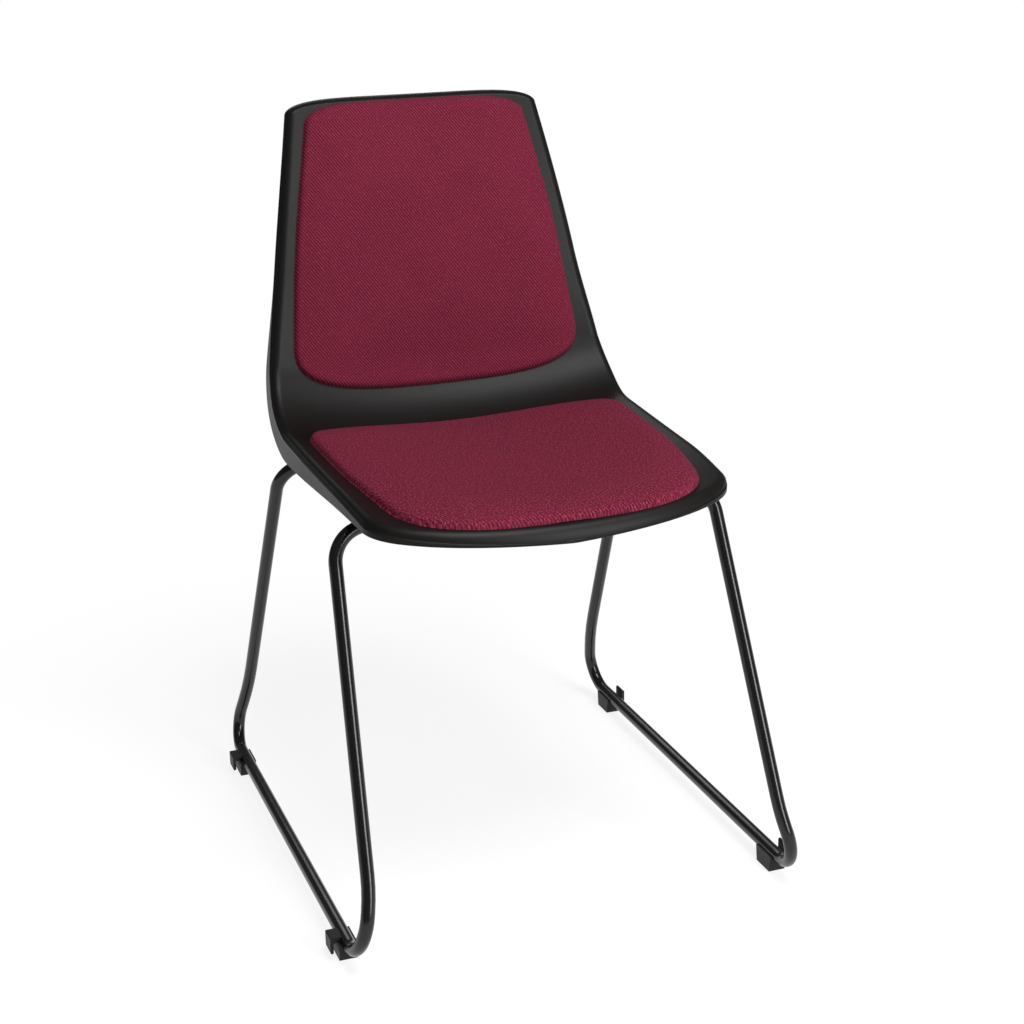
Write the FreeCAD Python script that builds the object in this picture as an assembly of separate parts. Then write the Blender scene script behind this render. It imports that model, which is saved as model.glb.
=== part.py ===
import FreeCAD, Part
import math
import os
from FreeCAD import Matrix, Vector

# Sled base visitor chair, in millimetres. +Z is up, the sitter faces -Y, +X is the sitter's left.
# The origin lies on the floor under the middle of the chair.

# Seat and back shell: centre line, seen from the side
seat_front_y = -271.0
seat_line_height = 459.5
seat_line_length = 345.0
bend_radius = 104.0
back_slope = 77.0
back_line_length = 307.5
seat_dip = 3.5
lumbar_bulge = 8.5
front_drop = 8.0
front_drop_length = 34.0

# Shell: half widths, height of the side edges over the middle, and depth of the skirt,
# each at the front edge, the middle of the seat, the bend, the lower back and the top
front_half_width = 198.0
seat_half_width = 209.5
bend_half_width = 214.0
lower_back_half_width = 188.5
top_half_width = 152.5
front_side_rise = 4.0
seat_side_rise = 23.0
bend_side_rise = 27.0
lower_back_side_rise = 6.0
top_side_rise = 9.0
front_skirt_depth = 14.0
seat_skirt_depth = 25.0
bend_skirt_depth = 39.0
lower_back_skirt_depth = 14.0
top_skirt_depth = 12.5
front_round_length = 76.0
front_round_power = 2.2
top_round_length = 19.0
top_round_power = 5.0
rim_radius = 9.0
shell_wall = 4.0

# Seat pad and back pad: start and end along the centre line, half widths and corner shapes
seat_pad_start = 13.0
seat_pad_end = 382.0
seat_pad_front_half_width = 163.0
seat_pad_middle_half_width = 188.0
seat_pad_rear_half_width = 193.0
seat_pad_front_round = 72.0
seat_pad_rear_round = 67.0
seat_pad_corner_power = 3.8
back_pad_start = 444.0
back_pad_end = 783.0
back_pad_bottom_half_width = 184.0
back_pad_middle_half_width = 163.5
back_pad_top_half_width = 131.5
back_pad_bottom_round = 60.0
back_pad_top_round = 24.0
back_pad_corner_power = 4.5
pad_gap = 0.4
pad_edge_height = 6.5
pad_draw_in = 2.5
seat_pad_crown = 8.0
back_pad_crown = 7.0
pad_crown_reach = 25.0
pad_end_round = 9.0
board_thickness = 2.5
cover_thickness = 1.2
foam_gap = 0.1

# Push-in clips of the pads
clip_head_diameter = 14.0
clip_head_thickness = 1.4
clip_stem_diameter = 6.0
clip_hole_clearance = 0.3
clip_barb_diameter = 8.5
clip_barb_length = 4.0
seat_clip_front = 75.0
seat_clip_rear = 300.0
seat_clip_half_spacing = 120.0
back_clip_bottom = 500.0
back_clip_top = 735.0
back_clip_half_spacing = 95.0

# Sled frame
tube_diameter = 15.0
tube_wall = 1.5
runner_centre_height = 20.5
runner_half_spacing = 252.7
runner_front_y = -311.4
runner_rear_y = 305.7
front_kink_y = -283.2
front_kink_height = 93.1
rear_kink_y = 264.0
rear_kink_height = 106.0
kink_half_spacing = 236.4
front_run_y = -131.1
front_run_height = 437.3
rear_run_y = 94.9
rear_run_height = 443.8
shoulder_half_spacing = 217.9
front_runner_bend_radius = 40.0
rear_runner_bend_radius = 32.0
front_kink_bend_radius = 230.0
rear_kink_bend_radius = 540.0
shoulder_bend_radius = 39.0
joining_sleeve_length = 60.0
joining_sleeve_wall = 2.0
sleeve_clearance = 0.05

# Seat straps, screws and inserts
strap_half_spacing = 120.0
strap_width = 36.0
strap_thickness = 3.0
strap_saddle_depth = 1.5
strap_overhang = 14.0
front_screw_offset = 36.0
rear_screw_offset = 34.0
boss_diameter = 20.0
insert_diameter = 9.0
insert_length = 10.0
insert_bore_spare = 1.0
screw_diameter = 6.0
screw_head_diameter = 12.0
screw_head_height = 3.6
screw_socket_width = 4.0
screw_socket_depth = 2.2
screw_hole_clearance = 0.5
washer_diameter = 14.0
washer_thickness = 1.2

# Linking glides
front_glide_y = -234.5
rear_glide_y = 236.0
glide_length = 35.0
glide_end_draft = 2.5
glide_width = 20.0
glide_floor_clearance = 1.0
glide_corner_radius = 1.5
link_slot_width = 4.5
link_wall_thickness = 3.5
link_length = 20.0
hook_top_height = 26.0
hook_bridge_thickness = 6.0
hook_tip_height = 7.5
catch_top_height = 27.0
catch_floor_thickness = 4.0
wear_pad_width = 16.0
wear_pad_length = 26.0
wear_pad_thickness = 3.0
pin_diameter = 5.0
pin_head_diameter = 9.0
pin_head_thickness = 2.0
pin_reach = 1.0

half_turn = math.pi
up = Vector(0, 0, 1)
os.makedirs("parts", exist_ok=True)
finished = {}

# Centre line of the shell: a straight seat, a round bend and a straight back.
# u runs along it, x goes sideways and n stands square to it, towards the sitter.
bend_angle = math.radians(back_slope)
bend_length = bend_radius * bend_angle
bend_end = seat_line_length + bend_length
shell_length = bend_end + back_line_length
bend_start_y = seat_front_y + seat_line_length
bend_centre_height = seat_line_height + bend_radius
bend_end_y = bend_start_y + bend_radius * math.sin(bend_angle)
bend_end_height = bend_centre_height - bend_radius * math.cos(bend_angle)
shell_stations = (0.0, 0.5 * seat_line_length, seat_line_length + 0.45 * bend_length,
                  bend_end + 0.35 * back_line_length, shell_length)
half_widths = (front_half_width, seat_half_width, bend_half_width, lower_back_half_width, top_half_width)
side_rises = (front_side_rise, seat_side_rise, bend_side_rise, lower_back_side_rise, top_side_rise)
skirt_depths = (front_skirt_depth, seat_skirt_depth, bend_skirt_depth, lower_back_skirt_depth, top_skirt_depth)


def place(u, x, n):
    """The point at u along the centre line, x to the side and n off it."""
    if u <= seat_line_length:
        y, z, turn = seat_front_y + u, seat_line_height, 0.0
    elif u <= bend_end:
        turn = (u - seat_line_length) / bend_radius
        y = bend_start_y + bend_radius * math.sin(turn)
        z = bend_centre_height - bend_radius * math.cos(turn)
    else:
        turn = bend_angle
        y = bend_end_y + (u - bend_end) * math.cos(turn)
        z = bend_end_height + (u - bend_end) * math.sin(turn)
    return Vector(x, y - n * math.sin(turn), z + n * math.cos(turn))


def smooth(u, stations, values):
    """A smooth curve through the values at the stations, with no overshoot between them."""
    steps = [b - a for a, b in zip(stations, stations[1:])]
    rates = [(b - a) / step for a, b, step in zip(values, values[1:], steps)]
    slopes = [rates[0]]
    for before, after in zip(rates, rates[1:]):
        slopes.append(2 * before * after / (before + after) if before * after > 0 else 0.0)
    slopes.append(rates[-1])
    u = min(max(u, stations[0]), stations[-1])
    k = max(i for i in range(len(steps)) if u >= stations[i])
    t = (u - stations[k]) / steps[k]
    start = (1 + 2 * t) * (1 - t) ** 2 * values[k] + t * (1 - t) ** 2 * steps[k] * slopes[k]
    end = t * t * (3 - 2 * t) * values[k + 1] + t * t * (t - 1) * steps[k] * slopes[k + 1]
    return start + end


def round_off(depth, radius):
    """How far a rounded edge of this radius has fallen at this depth in from the edge."""
    q = min(max(1 - depth / radius, 0.0), 1.0)
    return radius * (1 - math.sqrt(1 - q * q))


def shell_height(u, x):
    """The shell's sitting surface over the centre line, without its rounded rim."""
    along_seat = min(max(u / seat_line_length, 0.0), 1.0)
    along_back = min(max((u - bend_end) / back_line_length, 0.0), 1.0)
    height = 4 * lumbar_bulge * along_back * (1 - along_back) - 4 * seat_dip * along_seat * (1 - along_seat)
    height -= front_drop * round_off(u / front_drop_length, 1.0)
    rise = smooth(u, shell_stations, side_rises)
    return height + rise * (x / smooth(u, shell_stations, half_widths)) ** 2


class Outline:
    """An outline in u and x with rounded ends, as a shell or a pad has it."""

    def __init__(self, start, end, stations, widths, start_round, start_power, end_round, end_power, inset=0.0):
        self.start, self.end = start + inset, end - inset
        self.stations, self.widths, self.inset = stations, widths, inset
        self.rounds = (start_round - inset, end_round - inset)
        self.powers = (start_power, end_power)

    def full_width(self, u):
        return smooth(u, self.stations, self.widths) - self.inset

    def end_shares(self, u):
        near_start = min(max(1 - (u - self.start) / self.rounds[0], 0.0), 1.0)
        near_end = min(max(1 - (self.end - u) / self.rounds[1], 0.0), 1.0)
        return near_start ** end_power, near_end ** end_power

    def half_width(self, u):
        width = self.full_width(u)
        for share, power in zip(self.end_shares(u), self.powers):
            width *= (1 - share) ** (1 / power)
        return width

    def depth(self, u, x):
        """About how far a point lies in from the outline."""
        width = self.full_width(u)
        across = min(abs(x) / width, 1.0)
        depths = []
        for share, power, length in zip(self.end_shares(u), self.powers, self.rounds):
            inside = 1 - across ** power - share
            across_rate = power * across ** (power - 1) / width
            along_rate = end_power * share ** (1 - 1 / end_power) / length
            depths.append(inside / (math.hypot(across_rate, along_rate) + 1e-9))
        return max(min(depths), 0.0)

    def cuts(self):
        """Stations for sections: even steps of angle round the ends, the shell's own steps between."""
        near, far = self.start + self.rounds[0], self.end - self.rounds[1]
        turns = [half_turn / 2 * (i + first_step) / end_steps for i in range(end_steps)]
        leading = [near - self.rounds[0] * math.cos(turn) for turn in turns]
        trailing = [far + self.rounds[1] * math.cos(turn) for turn in turns[::-1]]
        return leading + [u for u in shell_steps if near - 1 < u < far + 1] + trailing


end_power = 2.2
first_step = 0.3
end_steps = 9
seat_steps = 8
bend_steps = 12
back_steps = 10
shell_steps = [seat_line_length * i / seat_steps for i in range(seat_steps)]
shell_steps += [seat_line_length + bend_length * i / bend_steps for i in range(bend_steps)]
shell_steps += [bend_end + back_line_length * i / back_steps for i in range(back_steps + 1)]


def curve(points):
    """One smooth edge through points."""
    line = Part.BSplineCurve()
    line.interpolate(points)
    return line.toShape()


def arc(a, b, c):
    return Part.Arc(a, b, c).toShape()


def line(a, b):
    return Part.LineSegment(a, b).toShape()


# Seat and back shell: a thick bent body less the same body set in by the wall
def shell_section(outline, u, lowered, radius, skirt):
    half = outline.half_width(u)
    steps = 20
    xs = [half * math.sin(half_turn * (i / steps - 0.5)) for i in range(steps + 1)]
    top = [place(u, x, shell_height(u, x) - lowered - round_off(outline.depth(u, x), radius)) for x in xs]
    low = [place(u, x, shell_height(u, x) - skirt) for x in xs[::-1]]
    return Part.Wire([curve(top), line(top[-1], low[0]), curve(low), line(low[-1], top[0])])


def shell_body(inset, below):
    outline = Outline(0.0, shell_length, shell_stations, half_widths, front_round_length, front_round_power,
                      top_round_length, top_round_power, inset)
    sections = []
    for u in outline.cuts():
        skirt = smooth(u, shell_stations, skirt_depths) + below
        sections.append(shell_section(outline, u, inset, rim_radius - inset, skirt))
    return Part.makeLoft(sections, True, True)


shell_body_outer = shell_body(0.0, 0.0)
shell_body_inner = shell_body(shell_wall, 2 * shell_wall)
seat_shell = shell_body_outer.cut(shell_body_inner)


# Pads: lofts of four-sided sections, each with a bottom, two drawn-in sides and a crowned top
def pad_outline(start, end, widths, rounds, power, inset):
    stations = (start, 0.5 * (start + end), end)
    return Outline(start, end, stations, widths, rounds[0], power, rounds[1], power, inset)


def pad_section(outline, u, floor, edge, crown):
    half = outline.half_width(u)
    from_end = min(u - outline.start, outline.end - u)
    thickness = max(edge - round_off(from_end, min(pad_end_round, edge)), thinnest_pad)
    hump = crown * (1 - math.exp(-from_end / pad_crown_reach))
    foot = half - min(pad_draw_in, 0.4 * half)

    def point(x, n):
        return place(u, x, shell_height(u, x) + floor + n)

    shoulder = half - 0.35 * min(thickness, half)
    top_left, top_middle, top_right = point(-shoulder, thickness), point(0, thickness + hump), point(shoulder, thickness)
    low_right, low_middle, low_left = point(foot, 0), point(0, 0), point(-foot, 0)
    right, left = point(half, 0.6 * thickness), point(-half, 0.6 * thickness)
    return Part.Wire([arc(top_left, top_middle, top_right), arc(top_right, right, low_right),
                      arc(low_right, low_middle, low_left), arc(low_left, left, top_left)])


thinnest_pad = 1.6


def pad_body(shape, crown, inset, floor, edge):
    outline = pad_outline(*shape, inset)
    sections = [pad_section(outline, u, floor, edge, crown) for u in outline.cuts()]
    return Part.makeLoft(sections, True, True)


def pad_sheet(shape, inset, floor, thickness):
    """A flat-edged sheet that follows the shell, for the board under a pad."""
    outline = pad_outline(*shape, inset)
    sections = []
    for u in outline.cuts():
        half = outline.half_width(u)
        top = [place(u, x, shell_height(u, x) + floor + thickness) for x in (-half, 0, half)]
        low = [place(u, x, shell_height(u, x) + floor) for x in (half, 0, -half)]
        sections.append(Part.Wire([arc(*top), line(top[2], low[0]), arc(*low), line(low[2], top[0])]))
    return Part.makeLoft(sections, True, True)


def make_pad(shape, crown):
    """The cover, foam and board of one pad."""
    outer = pad_body(shape, crown, 0.0, pad_gap, pad_edge_height)
    hollow = pad_body(shape, crown, cover_thickness, pad_gap - board_thickness,
                      pad_edge_height + board_thickness - cover_thickness)
    below_foam = pad_sheet(shape, -pad_draw_in, pad_gap - 2 * board_thickness, 3 * board_thickness + foam_gap)
    board = pad_sheet(shape, cover_thickness + pad_draw_in, pad_gap, board_thickness)
    return outer.cut(hollow), hollow.cut(below_foam), board


seat_shape = (seat_pad_start, seat_pad_end,
              (seat_pad_front_half_width, seat_pad_middle_half_width, seat_pad_rear_half_width),
              (seat_pad_front_round, seat_pad_rear_round), seat_pad_corner_power)
back_shape = (back_pad_start, back_pad_end,
              (back_pad_bottom_half_width, back_pad_middle_half_width, back_pad_top_half_width),
              (back_pad_bottom_round, back_pad_top_round), back_pad_corner_power)
seat_cover, seat_foam, seat_board = make_pad(seat_shape, seat_pad_crown)
back_cover, back_foam, back_board = make_pad(back_shape, back_pad_crown)


# Clips: a head on the board, a stem through board and shell, and a barb behind the shell
def surface_frame(u, x):
    """The point on the shell and the direction that stands square to it."""
    point = place(u, x, shell_height(u, x))
    along = place(u + 1, x, shell_height(u + 1, x)) - point
    across = place(u, x + 1, shell_height(u, x + 1)) - point
    normal = across.cross(along)
    normal.normalize()
    return point, normal


def rod(base, direction, diameter, length):
    return Part.makeCylinder(diameter / 2, length, base, direction)


def make_clips(spots):
    global seat_shell
    clips, heads, stems = [], [], []
    board_top = pad_gap + board_thickness
    for u, x in spots:
        point, normal = surface_frame(u, x)
        head_base = point + normal * (board_top - clip_head_thickness)
        tip = point - normal * (shell_wall + clip_barb_length + pad_gap)
        barb = Part.makeCone(clip_stem_diameter / 4, clip_barb_diameter / 2, clip_barb_length, tip, normal)
        head = rod(head_base, normal, clip_head_diameter, clip_head_thickness)
        stem = rod(tip, normal, clip_stem_diameter, (head_base - tip).Length)
        hole = rod(tip, normal, clip_stem_diameter + 2 * clip_hole_clearance, (head_base - tip).Length)
        room = rod(head_base, normal, clip_head_diameter, pad_edge_height)
        clips.append(stem.fuse(barb).fuse(head).removeSplitter())
        heads.append(room.cut(rod(head_base + normal * clip_head_thickness, normal, 2 * clip_head_diameter,
                                  pad_edge_height)))
        stems.append(hole)
        seat_shell = seat_shell.cut(hole)
    return Part.makeCompound(clips), heads, stems


def four_spots(near, far, half_spacing):
    return [(u, side * half_spacing) for u in (near, far) for side in (-1, 1)]


seat_clips, seat_heads, seat_stems = make_clips(four_spots(seat_clip_front, seat_clip_rear, seat_clip_half_spacing))
back_clips, back_heads, back_stems = make_clips(four_spots(back_clip_bottom, back_clip_top, back_clip_half_spacing))
for tool in seat_heads + seat_stems:
    seat_board = seat_board.cut(tool)
    seat_foam = seat_foam.cut(tool)
for tool in back_heads + back_stems:
    back_board = back_board.cut(tool)
    back_foam = back_foam.cut(tool)


# Sled tubes: straight runs joined by tangent bends, hollow, meeting in the middle of both cross runs
def disc(centre, direction, diameter, bore):
    """A round face, with a round hole if there is a bore."""
    rings = [Part.Wire(Part.makeCircle(size / 2, centre, direction)) for size in (diameter, bore) if size]
    return Part.makeFace(rings, "Part::FaceMakerBullseye")


def bent_bar(corners, radii, diameter, bore):
    """A round bar along straight runs whose corners are bent to the radii."""
    pieces = []
    start = corners[0]
    for before, corner, after, radius in zip(corners, corners[1:], corners[2:], radii):
        back = (before - corner).normalize()
        forth = (after - corner).normalize()
        turn = half_turn - back.getAngle(forth)
        reach = radius * math.tan(turn / 2)
        first = corner + back * reach
        centre = corner + (back + forth).normalize() * (radius / math.cos(turn / 2))
        pieces.append(disc(start, back, diameter, bore).extrude(first - start))
        pieces.append(disc(first, back, diameter, bore).revolve(centre, forth.cross(back), math.degrees(turn)))
        start = corner + forth * reach
    pieces.append(disc(start, forth, diameter, bore).extrude(corners[-1] - start))
    return pieces[0].multiFuse(pieces[1:]).removeSplitter().Solids[0]


def sled_corners(side):
    return [Vector(0, front_run_y, front_run_height),
            Vector(side * shoulder_half_spacing, front_run_y, front_run_height),
            Vector(side * kink_half_spacing, front_kink_y, front_kink_height),
            Vector(side * runner_half_spacing, runner_front_y, runner_centre_height),
            Vector(side * runner_half_spacing, runner_rear_y, runner_centre_height),
            Vector(side * kink_half_spacing, rear_kink_y, rear_kink_height),
            Vector(side * shoulder_half_spacing, rear_run_y, rear_run_height),
            Vector(0, rear_run_y, rear_run_height)]


bend_radii = (shoulder_bend_radius, front_kink_bend_radius, front_runner_bend_radius,
              rear_runner_bend_radius, rear_kink_bend_radius, shoulder_bend_radius)
tube_bore = tube_diameter - 2 * tube_wall
sled_outers = {side: bent_bar(sled_corners(side), bend_radii, tube_diameter, 0) for side in (-1, 1)}
sled_tubes = {side: bent_bar(sled_corners(side), bend_radii, tube_diameter, tube_bore) for side in (-1, 1)}


def joining_sleeve(y, z):
    outer = tube_bore - 2 * sleeve_clearance
    base = Vector(-joining_sleeve_length / 2, y, z)
    sleeve = rod(base, Vector(1, 0, 0), outer, joining_sleeve_length)
    return sleeve.cut(rod(base, Vector(1, 0, 0), outer - 2 * joining_sleeve_wall, joining_sleeve_length))


# Seat straps: plates that lie on both cross runs, sloped as the runs are, with saddles for the tubes
run_slope = math.atan2(rear_run_height - front_run_height, rear_run_y - front_run_y)
run_distance = math.hypot(rear_run_height - front_run_height, rear_run_y - front_run_y)
strap_along = Vector(0, math.cos(run_slope), math.sin(run_slope))
strap_up = Vector(0, -math.sin(run_slope), math.cos(run_slope))
front_run_centre = Vector(0, front_run_y, front_run_height)


def strap_point(x, s, n):
    """A point x to the side, s behind the front cross run and n over the strap's underside."""
    low = tube_diameter / 2 - strap_saddle_depth
    return front_run_centre + Vector(x, 0, 0) + strap_along * s + strap_up * (low + n)


screw_places = (front_screw_offset, run_distance - rear_screw_offset)


def seat_strap(side):
    corners = [strap_point(side * strap_half_spacing + dx * strap_width / 2, s, 0)
               for dx, s in ((-1, -strap_overhang), (1, -strap_overhang),
                             (1, run_distance + strap_overhang), (-1, run_distance + strap_overhang))]
    plate = Part.Face(Part.makePolygon(corners + corners[:1])).extrude(strap_up * strap_thickness)
    long_edges = [edge for edge in plate.Edges if abs(edge.Length - strap_thickness) < 1e-6]
    plate = plate.makeFillet(strap_width / 4, long_edges)
    for s in screw_places:
        hole = rod(strap_point(side * strap_half_spacing, s, 0), strap_up,
                   screw_diameter + 2 * screw_hole_clearance, strap_thickness)
        plate = plate.cut(hole)
    return plate.cut(sled_outers[side])


# Screws from below: head, washer, strap, then a threaded insert in a boss of the shell
screws, washers, inserts = [], [], []
for side in (-1, 1):
    for s in screw_places:
        x = side * strap_half_spacing
        washer_low = strap_point(x, s, -washer_thickness)
        strap_top = strap_point(x, s, strap_thickness)
        washer = rod(washer_low, strap_up, washer_diameter, washer_thickness)
        washers.append(washer.cut(rod(washer_low, strap_up, screw_diameter + screw_hole_clearance, washer_thickness)))
        head_low = strap_point(x, s, -washer_thickness - screw_head_height)
        head = rod(head_low, strap_up, screw_head_diameter, screw_head_height)
        socket = rod(head_low, strap_up, screw_socket_width, screw_socket_depth)
        shank_length = washer_thickness + strap_thickness + insert_length
        shank = rod(washer_low, strap_up, screw_diameter, shank_length)
        screws.append(head.cut(socket).fuse(shank).removeSplitter())
        insert = rod(strap_top, strap_up, insert_diameter, insert_length)
        inserts.append(insert.cut(rod(strap_top, strap_up, screw_diameter, insert_length)))
        boss = rod(strap_top, strap_up, boss_diameter, seat_line_height - strap_top.z + seat_side_rise)
        boss = boss.common(shell_body_outer.fuse(shell_body_inner))
        below = rod(strap_top, strap_up, boss_diameter, insert_length + insert_bore_spare)
        boss = rod(strap_top, strap_up, boss_diameter, insert_length + 2 * insert_bore_spare).fuse(boss)
        boss = boss.cut(rod(strap_top, strap_up, insert_diameter, insert_length + insert_bore_spare))
        seat_shell = seat_shell.fuse(boss)


# Linking glides: a block under the runner, a hook or a catch beside it, a wear pad and a pin
def glide_block(side, end):
    """The plain block, drafted at both ends, with a seat for the tube."""
    half, low_half = glide_length / 2, glide_length / 2 - glide_end_draft
    outline = [Vector(0, -half, runner_centre_height), Vector(0, -low_half, glide_floor_clearance),
               Vector(0, low_half, glide_floor_clearance), Vector(0, half, runner_centre_height)]
    face = Part.Face(Part.makePolygon(outline + outline[:1]))
    block = face.extrude(Vector(glide_width, 0, 0))
    block.translate(Vector(side * runner_half_spacing - glide_width / 2, glide_centre[end], 0))
    return block


def glide_box(side, end, near, far, low, high, length):
    """A box beside the tube, from near to far off the tube's centre line."""
    xs = sorted((side * (runner_half_spacing + near), side * (runner_half_spacing + far)))
    return Part.makeBox(xs[1] - xs[0], length, high - low, Vector(xs[0], glide_centre[end] - length / 2, low))


glide_centre = {-1: front_glide_y, 1: rear_glide_y}
slot_start = glide_width / 2
slot_end = slot_start + link_slot_width
link_reach = slot_end + link_wall_thickness


def glide(side, end):
    block = glide_block(side, end)
    if side < 0:
        bridge = glide_box(side, end, 0, link_reach, hook_top_height - hook_bridge_thickness, hook_top_height,
                           link_length)
        wall = glide_box(side, end, slot_end, link_reach, hook_tip_height, hook_top_height, link_length)
    else:
        bridge = glide_box(side, end, 0, link_reach, glide_floor_clearance,
                           glide_floor_clearance + catch_floor_thickness, link_length)
        wall = glide_box(side, end, slot_end, link_reach, glide_floor_clearance, catch_top_height, link_length)
    body = block.fuse(bridge).fuse(wall).removeSplitter()
    edges = [edge for edge in body.Edges if abs(edge.BoundBox.XMin + edge.BoundBox.XMax) / 2
             > runner_half_spacing + slot_end - 1 and edge.BoundBox.YLength > link_length - 1]
    body = body.makeFillet(glide_corner_radius, edges)
    centre = Vector(side * runner_half_spacing, glide_centre[end], 0)
    pad_room = Part.makeBox(wear_pad_width, wear_pad_length, wear_pad_thickness,
                            centre - Vector(wear_pad_width / 2, wear_pad_length / 2, 0))
    pin_low = centre + up * wear_pad_thickness
    pin_head = rod(pin_low, up, pin_head_diameter, pin_head_thickness)
    tube_low = runner_centre_height - tube_diameter / 2
    pin_stem = rod(pin_low, up, pin_diameter, tube_low + tube_wall + pin_reach - wear_pad_thickness)
    pin = pin_head.fuse(pin_stem).removeSplitter()
    body = body.cut(sled_outers[side]).cut(pad_room).cut(pin)
    return body, pad_room, pin


pins = []
for side, kind in ((-1, "hook"), (1, "catch")):
    for end, where in ((-1, "front"), (1, "rear")):
        body, wear_pad, pin = glide(side, end)
        finished[where + "_" + kind + "_glide"] = body
        finished[where + "_" + kind + "_wear_pad"] = wear_pad
        sled_tubes[side] = sled_tubes[side].cut(pin)
        pins.append(pin)

finished["seat_shell"] = seat_shell
finished["seat_pad_cover"] = seat_cover
finished["seat_pad_foam"] = seat_foam
finished["seat_pad_board"] = seat_board
finished["seat_pad_clips"] = seat_clips
finished["back_pad_cover"] = back_cover
finished["back_pad_foam"] = back_foam
finished["back_pad_board"] = back_board
finished["back_pad_clips"] = back_clips
finished["left_sled_tube"] = sled_tubes[1]
finished["right_sled_tube"] = sled_tubes[-1]
finished["front_joining_sleeve"] = joining_sleeve(front_run_y, front_run_height)
finished["rear_joining_sleeve"] = joining_sleeve(rear_run_y, rear_run_height)
finished["left_seat_strap"] = seat_strap(1)
finished["right_seat_strap"] = seat_strap(-1)
finished["seat_screws"] = Part.makeCompound(screws)
finished["seat_washers"] = Part.makeCompound(washers)
finished["threaded_inserts"] = Part.makeCompound(inserts)
finished["glide_pins"] = Part.makeCompound(pins)

# The finished chair stands centred over the origin
box = Part.makeCompound(list(finished.values())).optimalBoundingBox(False, False)
to_centre = Vector(-(box.XMin + box.XMax) / 2, -(box.YMin + box.YMax) / 2, -box.ZMin)
print("shift to the origin", [round(value, 3) for value in to_centre])
for name, shape in finished.items():
    shape.translate(to_centre)
    shape.exportStep("parts/" + name + ".step")
    print(name, len(shape.Solids), "solids", round(shape.Volume), "mm3 valid", shape.isValid())
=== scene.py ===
import bpy
import math
import numpy as np
from mathutils import Matrix, Vector


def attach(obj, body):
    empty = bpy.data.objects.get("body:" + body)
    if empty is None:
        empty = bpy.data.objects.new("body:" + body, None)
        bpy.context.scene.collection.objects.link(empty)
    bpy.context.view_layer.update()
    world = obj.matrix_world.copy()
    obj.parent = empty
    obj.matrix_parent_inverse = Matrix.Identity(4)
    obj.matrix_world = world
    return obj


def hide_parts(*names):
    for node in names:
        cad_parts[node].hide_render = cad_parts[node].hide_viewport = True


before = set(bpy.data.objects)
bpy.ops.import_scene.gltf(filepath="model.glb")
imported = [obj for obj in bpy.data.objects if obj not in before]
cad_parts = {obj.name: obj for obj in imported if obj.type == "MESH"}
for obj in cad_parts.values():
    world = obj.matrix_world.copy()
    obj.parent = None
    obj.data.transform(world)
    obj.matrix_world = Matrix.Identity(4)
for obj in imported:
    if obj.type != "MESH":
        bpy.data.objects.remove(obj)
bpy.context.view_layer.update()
scene = bpy.context.scene

# Every length below is in millimetres, along the chair's own axes, and mm() takes it to metres.
# The middle of the chair's outer box stands over the origin, which moves every piece back by this much.
runner_shift = 3.289


def mm(x, y, z):
    return Vector((x / 1000, (y + runner_shift) / 1000, z / 1000))


# ---- the camera, at the photograph's angle; its focal length is in pixels of the picture
camera_place = (-683.9, -1958.25, 1077.2)
camera_azimuth = math.radians(-20.03)
camera_elevation = math.radians(18.39)
camera_roll = math.radians(-1.0)
camera_focal = 1900.17
picture_width = 1024
film_width = 36.0


def make_camera():
    data = bpy.data.cameras.new("camera")
    camera = bpy.data.objects.new("camera", data)
    scene.collection.objects.link(camera)
    level = math.cos(camera_elevation)
    back = Vector((math.sin(camera_azimuth) * level, -math.cos(camera_azimuth) * level,
                   math.sin(camera_elevation)))
    level_right = (-back).cross(Vector((0, 0, 1))).normalized()
    level_up = level_right.cross(-back)
    right = level_right * math.cos(camera_roll) + level_up * math.sin(camera_roll)
    up = level_up * math.cos(camera_roll) - level_right * math.sin(camera_roll)
    turn = Matrix((right, up, back)).transposed()
    camera.matrix_world = Matrix.Translation(mm(*camera_place)) @ turn.to_4x4()
    data.sensor_fit = "HORIZONTAL"
    data.sensor_width = film_width
    data.lens = camera_focal * film_width / picture_width
    data.clip_end = 40.0
    scene.camera = camera


make_camera()


# ---- shader maths as plain expressions
class Socket:
    """A value, colour or vector inside a material, which can be used in an expression."""

    def __init__(self, finish, link):
        self.finish, self.link = finish, link

    def maths(self, operation, *others):
        return self.finish.node("ShaderNodeMath", {"operation": operation}, [self, *others])

    def __add__(self, other):
        return self.maths("ADD", other)

    def __radd__(self, other):
        return self.maths("ADD", other)

    def __sub__(self, other):
        return self.maths("SUBTRACT", other)

    def __rsub__(self, other):
        return self.finish.node("ShaderNodeMath", {"operation": "SUBTRACT"}, [other, self])

    def __mul__(self, other):
        return self.maths("MULTIPLY", other)

    def __truediv__(self, other):
        return self.maths("DIVIDE", other)

    def __pow__(self, other):
        return self.maths("POWER", other)

    def sine(self):
        return self.maths("SINE")

    def most(self, other):
        return self.maths("MAXIMUM", other)

    def step(self, low, high):
        """0 at low, 1 at high, smooth between."""
        return self.finish.node("ShaderNodeMapRange", {"interpolation_type": "SMOOTHSTEP"},
                                {"Value": self, "From Min": low, "From Max": high})

    def parts(self):
        """The three numbers of a vector."""
        split = self.finish.node("ShaderNodeSeparateXYZ", {}, [self])
        return [Socket(self.finish, output) for output in split.link.node.outputs]


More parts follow.
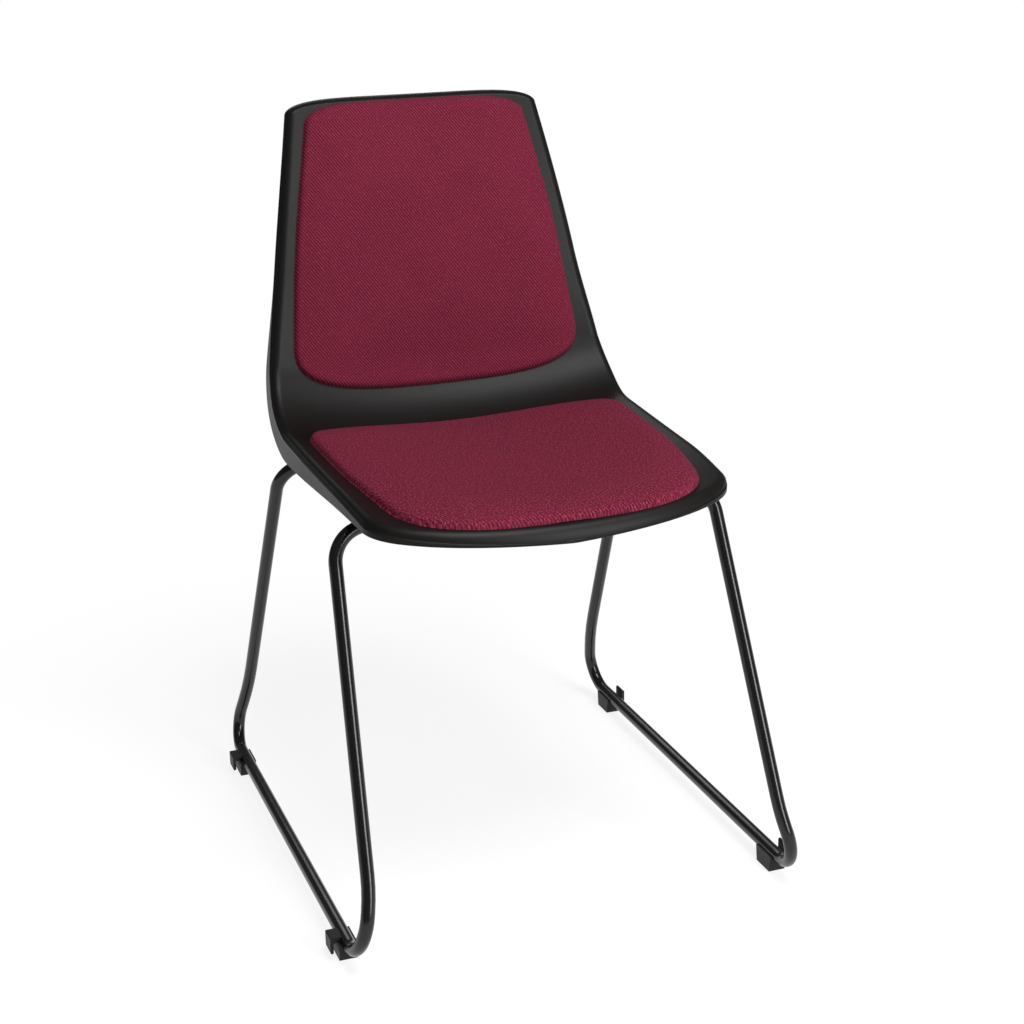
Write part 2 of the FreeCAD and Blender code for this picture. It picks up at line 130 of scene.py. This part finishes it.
class Finish:
    """One procedural material."""

    def __init__(self, name):
        self.material = bpy.data.materials.new(name)
        self.material.use_nodes = True
        self.nodes = self.material.node_tree.nodes
        self.links = self.material.node_tree.links
        self.nodes.clear()

    def node(self, kind, settings=None, inputs=None, output=0):
        made = self.nodes.new(kind)
        for key, value in (settings or {}).items():
            setattr(made, key, value)
        pairs = inputs.items() if isinstance(inputs, dict) else enumerate(inputs or [])
        for key, value in pairs:
            self.feed(made.inputs[key], value)
        return Socket(self, made.outputs[output]) if made.outputs else None

    def feed(self, socket, value):
        if isinstance(value, Socket):
            self.links.new(value.link, socket)
        elif isinstance(value, (tuple, list)) and len(value) == 3 and socket.type == "RGBA":
            socket.default_value = (*value, 1)
        else:
            socket.default_value = value

    def place(self):
        """The point on the object, in metres."""
        return self.node("ShaderNodeTexCoord", output=3)

    def stored(self, name):
        """Three numbers stored on the mesh."""
        return self.node("ShaderNodeAttribute", {"attribute_name": name}, output=1).parts()

    def noise(self, where, scale, detail=2.0, roughness=0.5):
        return self.node("ShaderNodeTexNoise", {}, {"Vector": where, "Scale": scale, "Detail": detail,
                                                    "Roughness": roughness})

    def blend(self, factor, first, second):
        """A colour between two colours."""
        made = self.nodes.new("ShaderNodeMix")
        made.data_type = "RGBA"
        self.feed(made.inputs[0], factor)
        self.feed(made.inputs[6], first)
        self.feed(made.inputs[7], second)
        return Socket(self, made.outputs[2])

    def bump(self, height, strength, distance):
        return self.node("ShaderNodeBump", {}, {"Height": height, "Strength": strength, "Distance": distance})

    def surface(self, **inputs):
        names = {key.replace("_", " ").title().replace("Ior", "IOR"): value for key, value in inputs.items()}
        shader = self.node("ShaderNodeBsdfPrincipled", {}, names)
        self.node("ShaderNodeOutputMaterial", {}, [shader])
        return self.material


def moulded_shell():
    """Warm black plastic with a fine eroded grain and a faint bloom."""
    finish = Finish("shell_plastic")
    where = finish.place()
    grain = finish.noise(where, 1300.0, 2.0, 0.6)
    coarse = finish.noise(where, 520.0, 2.0, 0.5)
    patches = finish.noise(where, 9.0, 3.0)
    rubbed = finish.noise(where, 38.0, 4.0, 0.65)
    deep, raised, bloom = (0.0042, 0.0036, 0.0034), (0.0098, 0.0088, 0.0083), (0.0088, 0.0079, 0.0076)
    colour = finish.blend(grain.step(0.32, 0.75), deep, raised)
    colour = finish.blend(patches.step(0.3, 0.7) * 0.35, colour, bloom)
    texture = grain * 0.6 + coarse * 0.4
    return finish.surface(base_color=colour, roughness=0.34 + grain * 0.10 + rubbed * 0.05,
                          specular_ior_level=0.15, normal=finish.bump(texture, 0.3, 0.0003))


# The twill's ribs and the stitches across them, in millimetres, and how far the ribs lean
rib_pitch, stitch_pitch = 3.0, 1.9
rib_lean = 1.4
lean_share = 0.581


def twill_cloth():
    """Burgundy twill: ribs on the diagonal, crossed by single stitches, in a two-tone yarn."""
    finish = Finish("pad_fabric")
    where = finish.place()
    along, across, coarse = finish.stored("cloth")
    wobble = finish.noise(where, 60.0, 2.0)
    diagonal = (along + across * rib_lean) * lean_share
    crossing = (along * rib_lean - across) * lean_share
    rib = (diagonal * 2.0 * math.pi / rib_pitch + wobble * 1.6).sine() * 0.5 + 0.5
    stitch = (crossing * 2.0 * math.pi / stitch_pitch + wobble * 2.0).sine() * 0.5 + 0.5
    yarn = finish.noise(where, 900.0, 2.0, 0.6)
    melange = finish.noise(where, 360.0, 3.0, 0.75)
    cloudy = finish.noise(where, 14.0, 3.0)
    slubs = finish.node("ShaderNodeCombineXYZ", {}, [along * 0.7, across, 0.0])
    flecks = finish.noise(slubs, 0.6, 2.0, 0.6)
    weave = rib * (0.62 + stitch * 0.38)
    dark, middle, light = (0.072, 0.0070, 0.0165), (0.195, 0.0190, 0.0435), (0.350, 0.054, 0.098)
    colour = finish.blend(weave.step(0.10, 0.78), dark, middle)
    colour = finish.blend(melange.step(0.48, 0.72) * weave.step(0.3, 0.9) * 0.7, colour, light)
    colour = finish.blend(yarn.step(0.6, 0.35) * 0.35, colour, dark)
    colour = finish.blend(flecks.step(0.48, 0.30) * (0.28 + coarse * 0.62), colour, dark)
    colour = finish.blend(flecks.step(0.52, 0.70) * (0.18 + coarse * 0.62), colour, light)
    colour = finish.blend(cloudy.step(0.3, 0.7) * 0.12, colour, middle)
    height = (weave * 0.75 + yarn * 0.25) * (1.0 - coarse * 0.55)
    return finish.surface(base_color=colour, roughness=0.86 + yarn * 0.1, specular_ior_level=0.06,
                          sheen_weight=0.03, sheen_roughness=0.5, sheen_tint=(0.75, 0.35, 0.42, 1.0),
                          normal=finish.bump(height, 0.4, 0.0005))


def coated_tube():
    """Half-gloss black powder coat with a slight orange peel."""
    finish = Finish("frame_coating")
    where = finish.place()
    peel = finish.noise(where, 320.0, 2.0)
    specks = finish.noise(where, 1400.0, 1.0)
    colour = finish.blend(specks.step(0.45, 0.8), (0.0060, 0.0055, 0.0053), (0.0115, 0.0108, 0.0106))
    return finish.surface(base_color=colour, roughness=0.16 + peel * 0.08, specular_ior_level=0.42,
                          normal=finish.bump(peel, 0.06, 0.0005))


def moulded_plastic(name, colour, rough):
    """Plain moulded plastic with a fine grain and pale scuffs."""
    finish = Finish(name)
    where = finish.place()
    grain = finish.noise(where, 1100.0, 2.0)
    scuffs = finish.noise(where, 90.0, 4.0, 0.7)
    worn = tuple(2.2 * part + 0.01 for part in colour)
    tint = finish.blend(scuffs.step(0.6, 0.85) * 0.5, colour, worn)
    return finish.surface(base_color=tint, roughness=rough + scuffs * 0.2, specular_ior_level=0.25,
                          normal=finish.bump(grain, 0.25, 0.0003))


def bare_metal(name, colour, rough):
    """Plated or drawn metal with a fine grain and duller spots."""
    finish = Finish(name)
    where = finish.place()
    grain = finish.noise(where, 700.0, 3.0)
    spots = finish.noise(where, 60.0, 3.0)
    tint = finish.blend(spots.step(0.4, 0.8), colour, tuple(part * 0.72 for part in colour))
    return finish.surface(base_color=tint, metallic=1.0, roughness=rough + grain * 0.15,
                          normal=finish.bump(grain, 0.08, 0.0003))


def plywood_board():
    finish = Finish("board_wood")
    where = finish.place()
    across_grain = where.parts()[1]
    rings = finish.noise(where, 30.0, 4.0, 0.6)
    grain = (across_grain * 900.0 + rings * 14.0).sine() * 0.5 + 0.5
    tint = finish.blend(grain, (0.30, 0.19, 0.10), (0.46, 0.32, 0.19))
    return finish.surface(base_color=tint, roughness=0.7 + grain * 0.1,
                          normal=finish.bump(grain, 0.15, 0.0004))


def cut_foam():
    finish = Finish("pad_foam")
    cells = finish.noise(finish.place(), 650.0, 3.0, 0.7)
    tint = finish.blend(cells.step(0.35, 0.7), (0.42, 0.39, 0.31), (0.66, 0.63, 0.54))
    return finish.surface(base_color=tint, roughness=0.9 + cells * 0.08,
                          normal=finish.bump(cells, 0.6, 0.0008))


shell_plastic = moulded_shell()
pad_fabric = twill_cloth()
frame_coating = coated_tube()
glide_plastic = moulded_plastic("glide_plastic", (0.016, 0.0155, 0.016), 0.42)
wear_pad_plastic = moulded_plastic("wear_pad_plastic", (0.045, 0.044, 0.048), 0.3)
clip_plastic = moulded_plastic("clip_plastic", (0.03, 0.03, 0.03), 0.45)
screw_steel = bare_metal("screw_steel", (0.55, 0.55, 0.57), 0.28)
bare_steel = bare_metal("bare_steel", (0.45, 0.45, 0.46), 0.38)
insert_brass = bare_metal("insert_brass", (0.62, 0.42, 0.16), 0.3)
board_wood = plywood_board()
pad_foam = cut_foam()

# ---- the shell's form: a straight seat, a round bend and a straight back
seat_front_y, seat_line_height, seat_line_length = -271.0, 459.5, 345.0
bend_radius, back_slope, back_line_length = 104.0, math.radians(77.0), 307.5
seat_dip, lumbar_bulge, front_drop, front_drop_length = 3.5, 8.5, 8.0, 34.0
bend_length = bend_radius * back_slope
bend_end = seat_line_length + bend_length
shell_length = bend_end + back_line_length
shell_stations = (0.0, 0.5 * seat_line_length, seat_line_length + 0.45 * bend_length,
                  bend_end + 0.35 * back_line_length, shell_length)
half_widths = (198.0, 209.5, 214.0, 188.5, 152.5)
side_rises = (4.0, 23.0, 27.0, 6.0, 9.0)
skirt_depths = (14.0, 25.0, 39.0, 14.0, 12.5)
shell_rounds, shell_powers = (76.0, 19.0), (2.2, 5.0)
rim_radius, shell_wall, shell_lip, end_power = 11.5, 4.0, 1.4, 2.2


def place(u, x, n):
    """Points at u along the centre line, x to the side and n off it, in metres."""
    u, x, n = np.broadcast_arrays(np.asarray(u, float), np.asarray(x, float), np.asarray(n, float))
    angle = np.clip((u - seat_line_length) / bend_radius, 0, back_slope)
    past = np.maximum(u - bend_end, 0)
    y = (seat_front_y + np.minimum(u, seat_line_length) + bend_radius * np.sin(angle)
         + past * math.cos(back_slope))
    z = seat_line_height + bend_radius * (1 - np.cos(angle)) + past * math.sin(back_slope)
    points = np.stack([x, y - n * np.sin(angle) + runner_shift, z + n * np.cos(angle)], -1)
    return points / 1000


def smooth(u, stations, values):
    """A smooth curve through the values, with no overshoot."""
    stations, values = np.asarray(stations, float), np.asarray(values, float)
    steps = np.diff(stations)
    rates = np.diff(values) / steps
    product = rates[:-1] * rates[1:]
    total = rates[:-1] + rates[1:]
    inner = np.where(product > 0, 2 * product / np.where(total == 0, 1, total), 0)
    slopes = np.concatenate([rates[:1], inner, rates[-1:]])
    u = np.clip(u, stations[0], stations[-1])
    k = np.clip(np.searchsorted(stations, u, side="right") - 1, 0, len(steps) - 1)
    t = (u - stations[k]) / steps[k]
    start = (1 + 2 * t) * (1 - t) ** 2 * values[k] + t * (1 - t) ** 2 * steps[k] * slopes[k]
    end = t * t * (3 - 2 * t) * values[k + 1] + t * t * (t - 1) * steps[k] * slopes[k + 1]
    return start + end


def round_off(depth, radius):
    """How far a rounded edge has fallen at this depth in from the edge."""
    q = np.clip(1 - depth / radius, 0, 1)
    return radius * (1 - np.sqrt(np.maximum(1 - q * q, 0)))


def shell_height(u, x):
    """How far the shell's top lies off its centre line."""
    along_seat = np.clip(u / seat_line_length, 0, 1)
    along_back = np.clip((u - bend_end) / back_line_length, 0, 1)
    height = 4 * lumbar_bulge * along_back * (1 - along_back) - 4 * seat_dip * along_seat * (1 - along_seat)
    height = height - front_drop * round_off(u / front_drop_length, 1.0)
    rise = smooth(u, shell_stations, side_rises)
    return height + rise * (x / smooth(u, shell_stations, half_widths)) ** 2


class Outline:
    """An outline with rounded ends, as the shell and the pads have it."""

    def __init__(self, start, end, stations, widths, rounds, powers, inset=0.0):
        self.start, self.end, self.inset = start + inset, end - inset, inset
        self.stations, self.widths, self.powers = stations, widths, powers
        self.rounds = (rounds[0] - inset, rounds[1] - inset)
        self.near, self.far = self.start + self.rounds[0], self.end - self.rounds[1]

    def full_width(self, u):
        return smooth(u, self.stations, self.widths) - self.inset

    def end_shares(self, u):
        near_start = np.clip(1 - (u - self.start) / self.rounds[0], 0, 1)
        near_end = np.clip(1 - (self.end - u) / self.rounds[1], 0, 1)
        return near_start ** end_power, near_end ** end_power

    def half_width(self, u):
        width = self.full_width(u)
        for share, power in zip(self.end_shares(u), self.powers):
            width = width * np.maximum(1 - share, 0) ** (1 / power)
        return width

    def depth(self, u, x):
        """About how far a point lies in from the outline."""
        width = self.full_width(u)
        across = np.minimum(np.abs(x) / width, 1)
        depths = []
        for share, power, length in zip(self.end_shares(u), self.powers, self.rounds):
            inside = 1 - across ** power - share
            across_rate = power * across ** (power - 1) / width
            along_rate = end_power * share ** (1 - 1 / end_power) / length
            depths.append(inside / (np.hypot(across_rate, along_rate) + 1e-9))
        return np.maximum(np.minimum(*depths), 0)

    def rows(self, end_steps, middle_step):
        """Stations: even steps of angle round the ends, even steps of length between."""
        turns = math.pi / 2 * (np.arange(end_steps) + 0.25) / end_steps
        count = max(int(round((self.far - self.near) / middle_step)), 2)
        return np.concatenate([self.near - self.rounds[0] * np.cos(turns),
                               np.linspace(self.near, self.far, count + 1),
                               (self.far + self.rounds[1] * np.cos(turns))[::-1]])

    def rows_like(self, other, stations):
        """This outline's stations for those of another outline, from which it is inset."""
        first = self.start + (stations - other.start) * self.rounds[0] / other.rounds[0]
        last = self.end - (other.end - stations) * self.rounds[1] / other.rounds[1]
        return np.where(stations < other.near, first, np.where(stations > other.far, last, stations))


def across_steps(count):
    """Steps from -1 to 1, closer together near both sides."""
    s = np.linspace(-1, 1, count)
    return 0.35 * s + 0.65 * np.sin(math.pi / 2 * s)


def grid_faces(rows, columns, start=0, flip=False):
    index = start + np.arange(rows * columns).reshape(rows, columns)
    a, b, c, d = index[:-1, :-1], index[:-1, 1:], index[1:, 1:], index[1:, :-1]
    quads = np.stack([d, c, b, a] if flip else [a, b, c, d], -1)
    return quads.reshape(-1, 4).tolist()


def border(rows, columns):
    """The numbers of a grid's border points, in order round it."""
    index = np.arange(rows * columns).reshape(rows, columns)
    return np.concatenate([index[0, :], index[1:, -1], index[-1, -2::-1], index[-2:0:-1, 0]])


def band_faces(first, second, flip=False):
    """Faces between two rings of the same count."""
    faces = []
    for i in range(len(first)):
        j = (i + 1) % len(first)
        quad = [int(first[i]), int(first[j]), int(second[j]), int(second[i])]
        faces.append(quad[::-1] if flip else quad)
    return faces


def make_piece(name, points, faces, material, nodes):
    mesh = bpy.data.meshes.new(name)
    mesh.from_pydata([tuple(point) for point in points], [], faces)
    mesh.validate()
    mesh.update()
    mesh.polygons.foreach_set("use_smooth", [True] * len(mesh.polygons))
    piece = bpy.data.objects.new(name, mesh)
    scene.collection.objects.link(piece)
    mesh.materials.append(material)
    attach(piece, "root")
    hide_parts(*nodes)
    return piece


# ---- the shell as one thick moulding with a rolled rim and a skirt
def make_shell():
    outline = Outline(0.0, shell_length, shell_stations, half_widths, shell_rounds, shell_powers)
    lining = Outline(0.0, shell_length, shell_stations, half_widths, shell_rounds, shell_powers, shell_wall)
    columns = 121
    outer_rows = outline.rows(44, 4.0)
    inner_rows = lining.rows_like(outline, outer_rows)
    rows = len(outer_rows)
    steps = across_steps(columns)

    def sheet(shape, stations, lowered, radius):
        u = stations[:, None] * np.ones(columns)
        x = shape.half_width(stations)[:, None] * steps
        height = shell_height(u, x) - lowered - round_off(shape.depth(u, x), radius)
        return u, x, height

    u, x, height = sheet(outline, outer_rows, 0.0, rim_radius)
    lined_u, lined_x, lined_height = sheet(lining, inner_rows, shell_wall, rim_radius - shell_wall)
    points = [place(u, x, height).reshape(-1, 3), place(lined_u, lined_x, lined_height).reshape(-1, 3)]
    faces = grid_faces(rows, columns) + grid_faces(rows, columns, rows * columns, True)

    # The skirt: loops down the outside, round the lip and up the inside
    ring = border(rows, columns)
    ring_u, ring_x, top = (part.reshape(-1)[ring] for part in (u, x, height))
    lined_ring_u, lined_ring_x, lined_top = (part.reshape(-1)[ring]
                                             for part in (lined_u, lined_x, lined_height))
    foot = shell_height(ring_u, ring_x) - smooth(ring_u, shell_stations, skirt_depths)
    lip_share = shell_lip / shell_wall
    quarter = [math.radians(angle) for angle in (0.0, 22.5, 45.0, 67.5, 90.0)]
    lip_loops = [((1 - math.cos(a)) * lip_share, foot + shell_lip * (1 - math.sin(a))) for a in quarter]
    loops = [(0.0, top + (foot + shell_lip - top) * share) for share in (0.12, 0.3, 0.5, 0.7, 0.88)]
    loops += lip_loops
    loops += [(1 - inward, level) for inward, level in lip_loops[::-1]]
    loops += [(1.0, foot + shell_lip + (lined_top - foot - shell_lip) * share)
              for share in (0.15, 0.4, 0.7, 0.9)]
    previous = ring
    count = 2 * rows * columns
    for inward, level in loops:
        along = ring_u + (lined_ring_u - ring_u) * inward
        across = ring_x + (lined_ring_x - ring_x) * inward
        points.append(place(along, across, level))
        current = count + np.arange(len(ring))
        faces += band_faces(previous, current)
        previous = current
        count += len(ring)
    faces += band_faces(previous, ring + rows * columns)
    make_piece("seat_shell_moulding", np.concatenate(points), faces, shell_plastic, ["seat_shell"])


# Bosses under the seat: their places, and their outline as radii and heights over the foot
boss_half_spacing = 120
boss_places = ((-95.4, 447.3), (60.7, 451.8))
boss_tilt = math.radians(1.65)
boss_sides = 48
boss_outline = ((3.4, -2.4), (3.6, 0.5), (4.3, 1.2), (9.2, 1.2), (9.9, 1.5), (10.0, 2.2), (10.0, 9.0),
                (10.4, 12.0), (11.6, 14.6), (12.4, 17.0))


def make_bosses():
    """Four round bosses under the seat, flared where they grow out of the shell."""
    turns = np.linspace(0, 2 * math.pi, boss_sides, endpoint=False)
    points, faces = [], []
    for side in (-1, 1):
        for y, z in boss_places:
            first = len(points)
            for radius, height in boss_outline:
                for turn in turns:
                    ahead = radius * math.sin(turn)
                    points.append(mm(side * boss_half_spacing + radius * math.cos(turn),
                                     y + ahead * math.cos(boss_tilt) - height * math.sin(boss_tilt),
                                     z + height * math.cos(boss_tilt) + ahead * math.sin(boss_tilt)))
            rings = [first + np.arange(boss_sides) + i * boss_sides for i in range(len(boss_outline))]
            for low, high in zip(rings, rings[1:]):
                faces += band_faces(low, high)
            faces.append([int(i) for i in rings[0][::-1]])
            faces.append([int(i) for i in rings[-1]])
    make_piece("seat_shell_bosses", points, faces, shell_plastic, ["seat_shell"])


make_shell()
make_bosses()

# ---- upholstered pads, swollen by a cloth simulation
pad_gap, pad_edge_height, pad_draw_in = 0.4, 7.0, 2.5
pad_swell, pad_crown_reach = 2.6, 25.0
swell_frames, swell_pressure, swell_ease = 20, 4.0, 0.45


def read_points(mesh, kind):
    numbers = np.empty(len(mesh.vertices) * 3)
    mesh.vertices.foreach_get(kind, numbers)
    return numbers.reshape(-1, 3)


def swell(piece, held, most):
    """Blows the pad up as cloth, outward only and by no more than most, in millimetres."""
    mesh = piece.data
    group = piece.vertex_groups.new(name="held")
    group.add(held, 1.0, "REPLACE")
    cloth = piece.modifiers.new("swell", "CLOTH")
    settings = cloth.settings
    settings.quality = 4
    settings.mass = 0.25
    settings.tension_stiffness = settings.compression_stiffness = 8.0
    settings.shear_stiffness = 4.0
    settings.bending_stiffness = 0.4
    settings.vertex_group_mass = "held"
    settings.use_pressure = True
    settings.uniform_pressure_force = swell_pressure
    settings.effector_weights.gravity = 0.0
    cloth.point_cache.frame_start, cloth.point_cache.frame_end = 1, swell_frames
    before = read_points(mesh, "co")
    for number in range(1, swell_frames + 1):
        scene.frame_set(number)
    after = read_points(piece.evaluated_get(bpy.context.evaluated_depsgraph_get()).data, "co")
    piece.modifiers.remove(cloth)
    piece.vertex_groups.remove(group)
    scene.frame_set(1)
    normals = read_points(mesh, "normal")
    rise = np.maximum(((after - before) * normals).sum(1), 0)
    rise[held] = 0
    largest = max(float(rise.max()), 1e-9)
    print(piece.name, "swelled by up to", round(largest * 1000, 2), "mm")
    share = (1 - np.exp(-rise / (swell_ease * largest))) / (1 - math.exp(-1 / swell_ease))
    mesh.vertices.foreach_set("co", (before + normals * (share * most / 1000)[:, None]).reshape(-1))
    mesh.update()


def make_pad(name, start, end, widths, rounds, power, crown, coarse, nodes):
    stations = (start, 0.5 * (start + end), end)
    outline = Outline(start, end, stations, widths, rounds, (power, power))
    rows = outline.rows(18, 6.5)
    columns = 65
    u = rows[:, None] * np.ones(columns)
    x = outline.half_width(rows)[:, None] * across_steps(columns)
    depth = outline.depth(u, x)
    first_crown = crown - pad_swell
    top = (pad_gap + pad_edge_height - round_off(depth, pad_edge_height)
           + first_crown * (1 - np.exp(-depth / pad_crown_reach)))
    points = [place(u, x, shell_height(u, x) + top).reshape(-1, 3)]
    faces = grid_faces(len(rows), columns)
    cloth = [np.stack([u.reshape(-1), x.reshape(-1)], -1)]

    # The edge: loops that draw the cover in under the pad, each a share of the edge's height lower
    ring = border(len(rows), columns)
    ring_u, ring_x, ring_top = (part.reshape(-1)[ring] for part in (u, x, top))
    middle_u = 0.5 * (start + end)
    count = top_count = len(rows) * columns
    previous = ring
    edge_loops = ((0.25, 0.35, pad_gap), (1.2, 0.75, pad_gap), (pad_draw_in, 1.0, 0.3 * pad_gap))
    for drawn, fallen, gap in edge_loops:
        scale = drawn / 200.0
        along = ring_u + (middle_u - ring_u) * scale
        across = ring_x * (1 - scale)
        height = shell_height(along, across) + gap + (ring_top - pad_gap) * (1 - fallen)
        points.append(place(along, across, height))
        cloth.append(np.stack([ring_u + drawn, ring_x], -1))
        current = count + np.arange(len(ring))
        faces += band_faces(previous, current)
        previous = current
        count += len(ring)
    faces.append([int(i) for i in previous[::-1]])
    piece = make_piece(name, np.concatenate(points), faces, pad_fabric, nodes)

    # The cloth's own lengths, with a third number that says how coarse the yarn is
    attribute = piece.data.attributes.new("cloth", "FLOAT_VECTOR", "POINT")
    flat = np.concatenate(cloth) * (1 - 0.06 * coarse)
    flat = np.concatenate([flat, np.full((len(flat), 1), coarse)], 1)
    attribute.data.foreach_set("vector", flat.astype(np.float32).reshape(-1))
    held = sorted(set(int(i) for i in ring) | set(range(top_count, count)))
    swell(piece, held, pad_swell)
    finer = piece.modifiers.new("finer", "SUBSURF")
    finer.levels = finer.render_levels = 1


make_pad("seat_pad_upholstery", 12.0, 382.0, (163.0, 188.0, 193.5), (72.0, 67.0), 3.8, 8.3, 1.0,
         ["seat_pad_cover", "seat_pad_foam"])
make_pad("back_pad_upholstery", 444.5, 785.0, (184.0, 163.5, 131.6), (60.0, 23.5), 4.5, 7.0, 0.0,
         ["back_pad_cover", "back_pad_foam"])


# ---- the frame tubes as smooth bent bars
def bent_line(corners, radii, step_angle=4.0, step_length=12.0):
    """Points along straight runs whose corners are rounded by the radii."""
    corners = [np.array(corner, float) for corner in corners]
    line = [corners[0]]
    start = corners[0]

    def run(first, last):
        count = max(int(np.linalg.norm(last - first) / step_length), 1)
        line.extend(first + (last - first) * i / count for i in range(1, count + 1))

    for before, corner, after, radius in zip(corners, corners[1:], corners[2:], radii):
        back = (before - corner) / np.linalg.norm(before - corner)
        forth = (after - corner) / np.linalg.norm(after - corner)
        angle = math.pi - math.acos(float(np.clip(back @ forth, -1, 1)))
        reach = radius * math.tan(angle / 2)
        first = corner + back * reach
        run(start, first)
        middle = (back + forth) / np.linalg.norm(back + forth)
        centre = corner + middle * radius / math.cos(angle / 2)
        spoke = first - centre
        count = max(int(math.degrees(angle) / step_angle), 3)
        for i in range(1, count + 1):
            a = angle * i / count
            line.append(centre + spoke * math.cos(a) - back * radius * math.sin(a))
        start = line[-1]
    run(start, corners[-1])
    return np.array(line)


def bar_mesh(line, radius, sides=40):
    """Rings of points round a line, and their faces, with closed ends."""
    ahead = np.gradient(line, axis=0)
    ahead /= np.linalg.norm(ahead, axis=1)[:, None]
    side = np.cross(ahead[0], (0, 0.3, 1.0))
    side /= np.linalg.norm(side)
    angles = np.linspace(0, 2 * math.pi, sides, endpoint=False)
    points = []
    for centre, direction in zip(line, ahead):
        side = side - direction * (side @ direction)
        side /= np.linalg.norm(side)
        upward = np.cross(side, direction)
        points.append(centre + radius * (np.cos(angles)[:, None] * side + np.sin(angles)[:, None] * upward))
    rings = [np.arange(sides) + i * sides for i in range(len(line))]
    faces = []
    for first, second in zip(rings, rings[1:]):
        faces += band_faces(first, second, True)
    faces.append([int(i) for i in rings[0]])
    faces.append([int(i) for i in rings[-1][::-1]])
    return np.concatenate(points), faces


tube_radius = 7.5
front_run, rear_run = (-131.1, 437.3), (94.9, 443.8)
front_kink, rear_kink = (-283.2, 93.1), (264.0, 106.0)
runner_front, runner_rear = (-311.4, 20.5), (305.7, 20.5)
shoulder_half_spacing, kink_half_spacing, runner_half_spacing = 217.9, 236.4, 252.7
tube_bend_radii = (39.0, 230.0, 40.0, 32.0, 540.0, 39.0)


def make_tube(name, side, node):
    corners = [(0, *front_run), (side * shoulder_half_spacing, *front_run),
               (side * kink_half_spacing, *front_kink), (side * runner_half_spacing, *runner_front),
               (side * runner_half_spacing, *runner_rear), (side * kink_half_spacing, *rear_kink),
               (side * shoulder_half_spacing, *rear_run), (0, *rear_run)]
    points, faces = bar_mesh(bent_line(corners, tube_bend_radii), tube_radius)
    points = (points + np.array([0, runner_shift, 0])) / 1000
    make_piece(name, points, faces, frame_coating, [node])


make_tube("left_sled_bar", 1, "left_sled_tube")
make_tube("right_sled_bar", -1, "right_sled_tube")

# ---- pieces that keep their CAD shape
finishes = {
    "seat_pad_foam": pad_foam, "back_pad_foam": pad_foam, "seat_pad_board": board_wood,
    "back_pad_board": board_wood, "seat_pad_clips": clip_plastic, "back_pad_clips": clip_plastic,
    "front_joining_sleeve": bare_steel, "rear_joining_sleeve": bare_steel, "left_seat_strap": frame_coating,
    "right_seat_strap": frame_coating, "seat_screws": screw_steel, "seat_washers": screw_steel,
    "threaded_inserts": insert_brass, "glide_pins": screw_steel,
}
for where in ("front", "rear"):
    for kind in ("hook", "catch"):
        finishes[where + "_" + kind + "_glide"] = glide_plastic
        finishes[where + "_" + kind + "_wear_pad"] = wear_pad_plastic
for name, material in finishes.items():
    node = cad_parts[name]
    node.data.materials.clear()
    node.data.materials.append(material)

# ---- floor, lamps and world
floor_half_side = 30
glow_start, glow_end = 0.45, 1.1


def make_floor():
    """A pale floor that looks white, apart from the chair's soft shadow on it."""
    s = floor_half_side
    mesh = bpy.data.meshes.new("floor")
    mesh.from_pydata([(-s, -s, 0), (s, -s, 0), (s, s, 0), (-s, s, 0)], [], [[0, 1, 2, 3]])
    floor = bpy.data.objects.new("floor", mesh)
    scene.collection.objects.link(floor)
    finish = Finish("floor")
    x, y, _ = finish.place().parts()
    plain = finish.node("ShaderNodeBsdfDiffuse", {}, {"Color": (0.8, 0.8, 0.8), "Roughness": 0.0})
    glow = finish.node("ShaderNodeEmission", {}, {"Color": (1, 1, 1), "Strength": 1.0})
    near_glow = finish.node("ShaderNodeEmission", {}, {"Color": (1, 1, 1), "Strength": 1.17})
    near = finish.node("ShaderNodeMixShader", {}, [0.72, plain, near_glow])
    away = ((x * x + y * y) ** 0.5).step(glow_start, glow_end)
    shown = finish.node("ShaderNodeMixShader", {}, [away, near, glow])
    seen = finish.node("ShaderNodeLightPath")
    rays = seen.link.node.outputs
    for kind in ("Is Glossy Ray", "Is Transmission Ray"):
        seen = seen.most(Socket(finish, rays[kind]))
    mixed = finish.node("ShaderNodeMixShader", {}, [seen, plain, shown])
    finish.node("ShaderNodeOutputMaterial", {}, [mixed])
    mesh.materials.append(finish.material)


def soft_lamp(name, spot, aim, size, power):
    data = bpy.data.lights.new(name, "AREA")
    data.shape = "RECTANGLE"
    data.size, data.size_y = size
    data.energy = power
    lamp = bpy.data.objects.new(name, data)
    scene.collection.objects.link(lamp)
    lamp.location = spot
    lamp.rotation_euler = (Vector(aim) - Vector(spot)).to_track_quat("-Z", "Y").to_euler()


make_floor()
soft_lamp("key_lamp", (1.15, -2.60, 1.35), (0, 0, 0.4), (0.9, 2.0), 60)
soft_lamp("top_lamp", (0.25, -1.05, 2.65), (0, 0, 0.5), (1.3, 1.1), 53)
soft_lamp("rear_lamp", (0.3, 2.4, 1.8), (0, 0, 0.5), (1.4, 0.6), 7)

world = bpy.data.worlds.new("studio")
scene.world = world
world.use_nodes = True
backing = world.node_tree.nodes["Background"]
backing.inputs["Color"].default_value = (1, 1, 1, 1)
backing.inputs["Strength"].default_value = 0.13

scene.view_settings.view_transform = "Standard"
